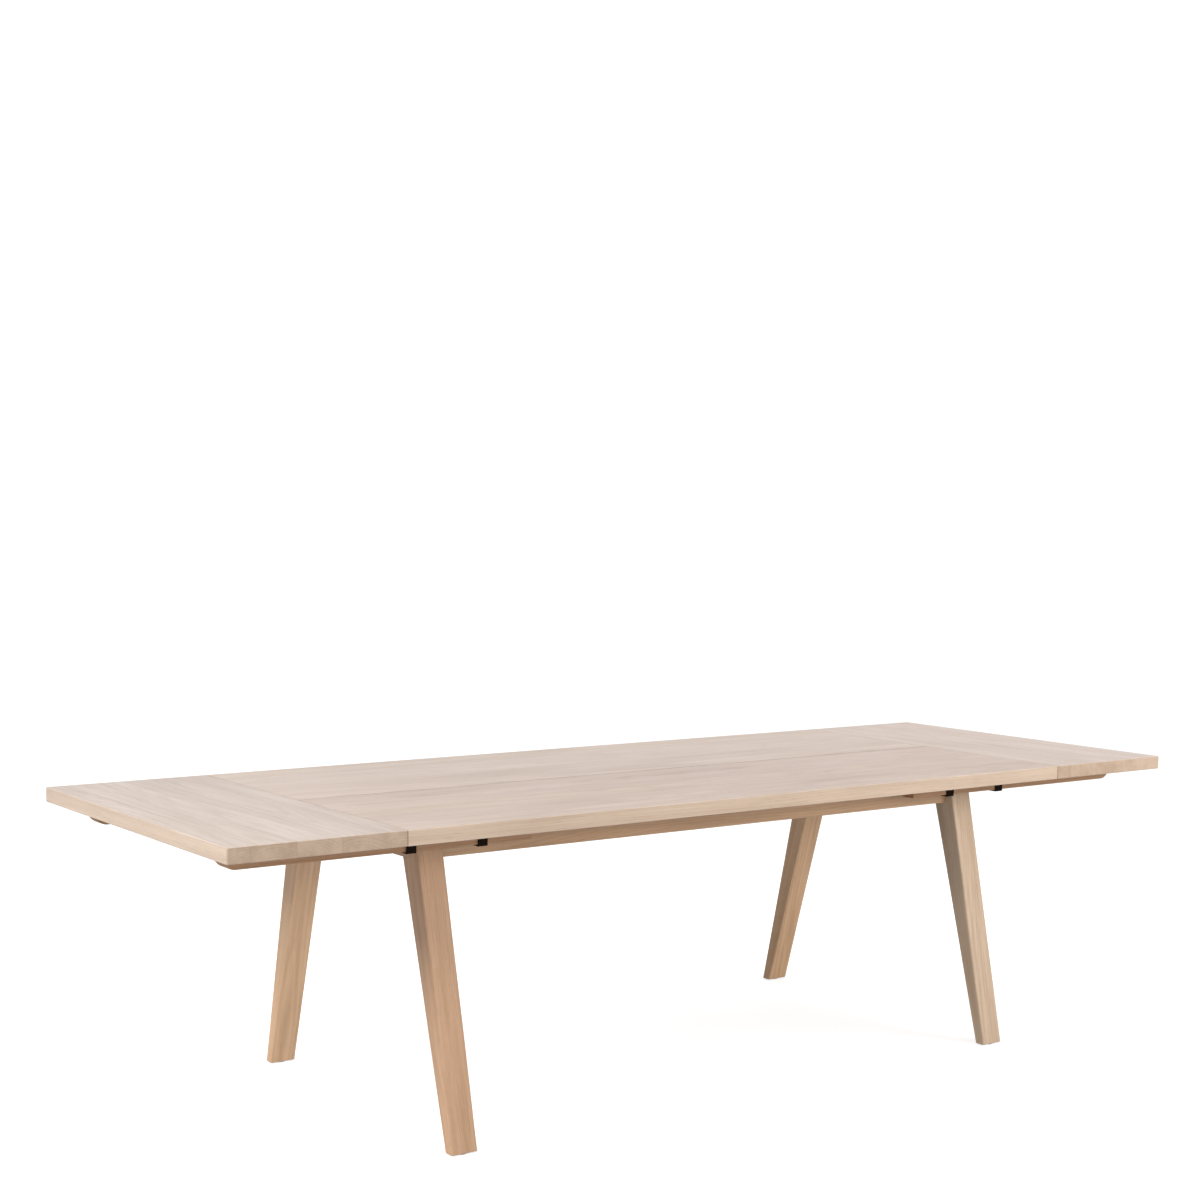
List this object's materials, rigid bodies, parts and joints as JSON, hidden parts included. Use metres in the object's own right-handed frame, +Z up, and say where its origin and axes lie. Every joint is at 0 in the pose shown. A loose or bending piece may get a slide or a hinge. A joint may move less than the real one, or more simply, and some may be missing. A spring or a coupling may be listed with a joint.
{
  "type": "extending dining table",
  "caption": "Pale oak dining table on splayed tapered legs, lengthened by a clip-on leaf at each end carried on pull-out wooden runners.",
  "frame": {"origin": "on the floor, under the middle of the table", "axes": "+X along the table's length towards the right leaf, -Y towards the front long side, +Z up"},
  "size_m": [2.83, 1, 0.75],
  "materials": {
    "top_oak": "white-oiled oak",
    "leg_oak": "white-oiled oak",
    "rail_oak": "white-oiled oak",
    "runner_oak": "oiled oak",
    "dowel_beech": "plain beech",
    "guide_black": "moulded",
    "zinc_steel": "zinc plated",
    "sleeve_brass": "turned",
    "glide_grey": "moulded"
  },
  "bodies": {
    "table": {"top_panel_front": "top_oak", "top_panel_back": "top_oak", "leg_front_left": "leg_oak", "leg_front_right": "leg_oak", "leg_back_left": "leg_oak", "leg_back_right": "leg_oak", "glide_front_left": "glide_grey", "glide_front_right": "glide_grey", "glide_back_left": "glide_grey", "glide_back_right": "glide_grey", "side_rail_front": "rail_oak", "side_rail_back": "rail_oak", "end_rail_left": "rail_oak", "end_rail_right": "rail_oak", "cross_rail_left": "rail_oak", "cross_rail_right": "rail_oak", "panel_dowels": "dowel_beech", "guide_front_left_outer": "guide_black", "guide_front_left_inner": "guide_black", "guide_front_right_outer": "guide_black", "guide_front_right_inner": "guide_black", "guide_back_left_outer": "guide_black", "guide_back_left_inner": "guide_black", "guide_back_right_outer": "guide_black", "guide_back_right_inner": "guide_black", "guide_screws": "zinc_steel", "corner_bracket_front_left": "zinc_steel", "corner_bracket_front_right": "zinc_steel", "corner_bracket_back_left": "zinc_steel", "corner_bracket_back_right": "zinc_steel", "leg_bolts": "zinc_steel", "leg_nuts": "zinc_steel", "bracket_screws": "zinc_steel", "top_clips": "zinc_steel", "top_clip_screws": "zinc_steel", "pin_sleeves": "sleeve_brass"},
    "runner_body_front_left": {"runner_front_left": "runner_oak", "runner_stops_front_left": "dowel_beech"},
    "runner_body_front_right": {"runner_front_right": "runner_oak", "runner_stops_front_right": "dowel_beech"},
    "runner_body_back_left": {"runner_back_left": "runner_oak", "runner_stops_back_left": "dowel_beech"},
    "runner_body_back_right": {"runner_back_right": "runner_oak", "runner_stops_back_right": "dowel_beech"},
    "leaf_body_left": {"leaf_left": "top_oak", "leaf_pins_left": "zinc_steel"},
    "leaf_body_right": {"leaf_right": "top_oak", "leaf_pins_right": "zinc_steel"}
  },
  "joints": [
    {"name": "runner_slide_front_left", "type": "slide", "parent": "table", "child": "runner_body_front_left", "axis": [1, 0, 0], "range_m": [0, 0.37]},
    {"name": "runner_slide_front_right", "type": "slide", "parent": "table", "child": "runner_body_front_right", "axis": [-1, 0, 0], "range_m": [0, 0.37]},
    {"name": "runner_slide_back_left", "type": "slide", "parent": "table", "child": "runner_body_back_left", "axis": [1, 0, 0], "range_m": [0, 0.37]},
    {"name": "runner_slide_back_right", "type": "slide", "parent": "table", "child": "runner_body_back_right", "axis": [-1, 0, 0], "range_m": [0, 0.37]},
    {"name": "leaf_slide_left", "type": "slide", "parent": "table", "child": "leaf_body_left", "axis": [-1, 0, 0], "range_m": [0, 0.06]},
    {"name": "leaf_slide_right", "type": "slide", "parent": "table", "child": "leaf_body_right", "axis": [1, 0, 0], "range_m": [0, 0.06]}
  ]
}
